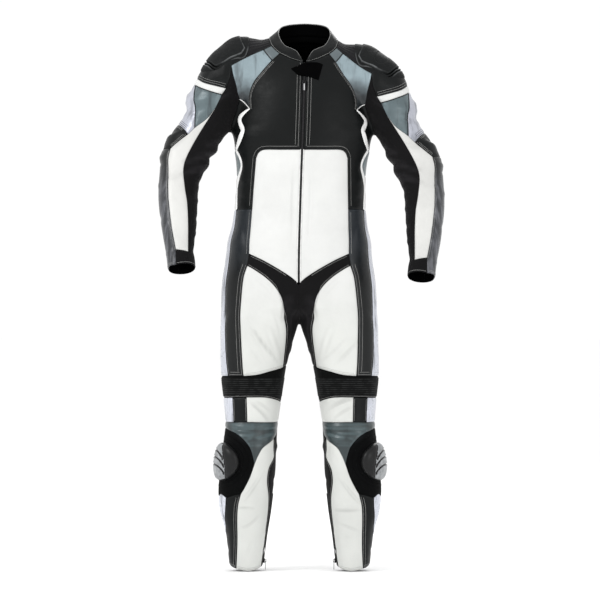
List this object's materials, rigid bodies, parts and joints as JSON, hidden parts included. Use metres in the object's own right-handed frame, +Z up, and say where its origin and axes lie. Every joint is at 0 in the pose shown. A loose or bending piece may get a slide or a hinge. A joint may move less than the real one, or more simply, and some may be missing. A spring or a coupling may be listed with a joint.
{
  "type": "leather motorcycle race suit, one piece, worn form held up by its wearer",
  "caption": "One-piece leather motorcycle race suit, hollow and open at neck, cuffs and ankles, with shoulder cups, knee sliders, ribbed stretch panels and zips with hinged pulls.",
  "frame": {"origin": "middle of the neck on the line of the shoulder seams, where the wearer's shoulders hold the suit up", "axes": "+Z up, the front faces -Y, the wearer's right side is at -X"},
  "size_m": [0.7664, 0.3037, 1.4774],
  "materials": {
    "black_leather": "semi-gloss",
    "stretch_fabric": "matte",
    "white_leather": "semi-gloss",
    "grey_pearl_leather": "pearl semi-gloss",
    "silver_leather": "pearl semi-gloss",
    "armour_plastic": "semi-gloss",
    "hook_and_loop": "matte",
    "zip_tape": "matte",
    "steel": "satin"
  },
  "bodies": {
    "suit": {"chest_R": "black_leather", "chest_L": "black_leather", "sleeve_cap_R": "black_leather", "sleeve_cap_L": "black_leather", "elbow_forearm_R": "black_leather", "elbow_forearm_L": "black_leather", "thigh_side_R": "black_leather", "thigh_side_L": "black_leather", "seat_R": "black_leather", "seat_L": "black_leather", "shin_side_R": "black_leather", "shin_side_L": "black_leather", "collar": "black_leather", "back": "black_leather", "inner_sleeve_R": "stretch_fabric", "inner_sleeve_L": "stretch_fabric", "groin_R": "stretch_fabric", "groin_L": "stretch_fabric", "knee_band_R": "stretch_fabric", "knee_band_L": "stretch_fabric", "slider_base_R": "stretch_fabric", "slider_base_L": "stretch_fabric", "calf_R": "stretch_fabric", "calf_L": "stretch_fabric", "lumbar": "stretch_fabric", "belly_R": "white_leather", "belly_L": "white_leather", "arm_band_R": "white_leather", "arm_band_L": "white_leather", "forearm_white_R": "white_leather", "forearm_white_L": "white_leather", "thigh_front_R": "white_leather", "thigh_front_L": "white_leather", "above_knee_R": "white_leather", "above_knee_L": "white_leather", "shin_white_R": "white_leather", "shin_white_L": "white_leather", "wedge_R": "grey_pearl_leather", "wedge_L": "grey_pearl_leather", "upper_arm_grey_R": "grey_pearl_leather", "upper_arm_grey_L": "grey_pearl_leather", "knee_yoke_R": "grey_pearl_leather", "knee_yoke_L": "grey_pearl_leather", "upper_arm_silver_R": "silver_leather", "upper_arm_silver_L": "silver_leather", "thigh_silver_R": "silver_leather", "thigh_silver_L": "silver_leather", "shoulder_cup_R": "armour_plastic", "shoulder_cup_L": "armour_plastic", "slider_puck_R": "armour_plastic", "slider_puck_L": "armour_plastic", "collar_tab": "hook_and_loop", "zip_chain": "zip_tape", "ankle_zip_R": "zip_tape", "ankle_zip_L": "zip_tape", "zip_slider": "steel"},
    "front_pull": {"zip_pull": "steel"},
    "ankle_pull_right": {"ankle_pull_R": "steel"},
    "ankle_pull_left": {"ankle_pull_L": "steel"}
  },
  "joints": [
    {"name": "front_pull_hinge", "type": "hinge", "parent": "suit", "child": "front_pull", "pos_m": [0.0059, -0.11132, -0.09241], "axis": [-1, 0, 0], "range_deg": [0, 160]},
    {"name": "ankle_pull_right_hinge", "type": "hinge", "parent": "suit", "child": "ankle_pull_right", "pos_m": [-0.0991, 0.00894, -1.37973], "axis": [0.019, -0.9998, 0], "range_deg": [-5, 150]},
    {"name": "ankle_pull_left_hinge", "type": "hinge", "parent": "suit", "child": "ankle_pull_left", "pos_m": [0.08628, 0.00894, -1.37973], "axis": [0.019, 0.9998, 0], "range_deg": [-5, 150]}
  ]
}
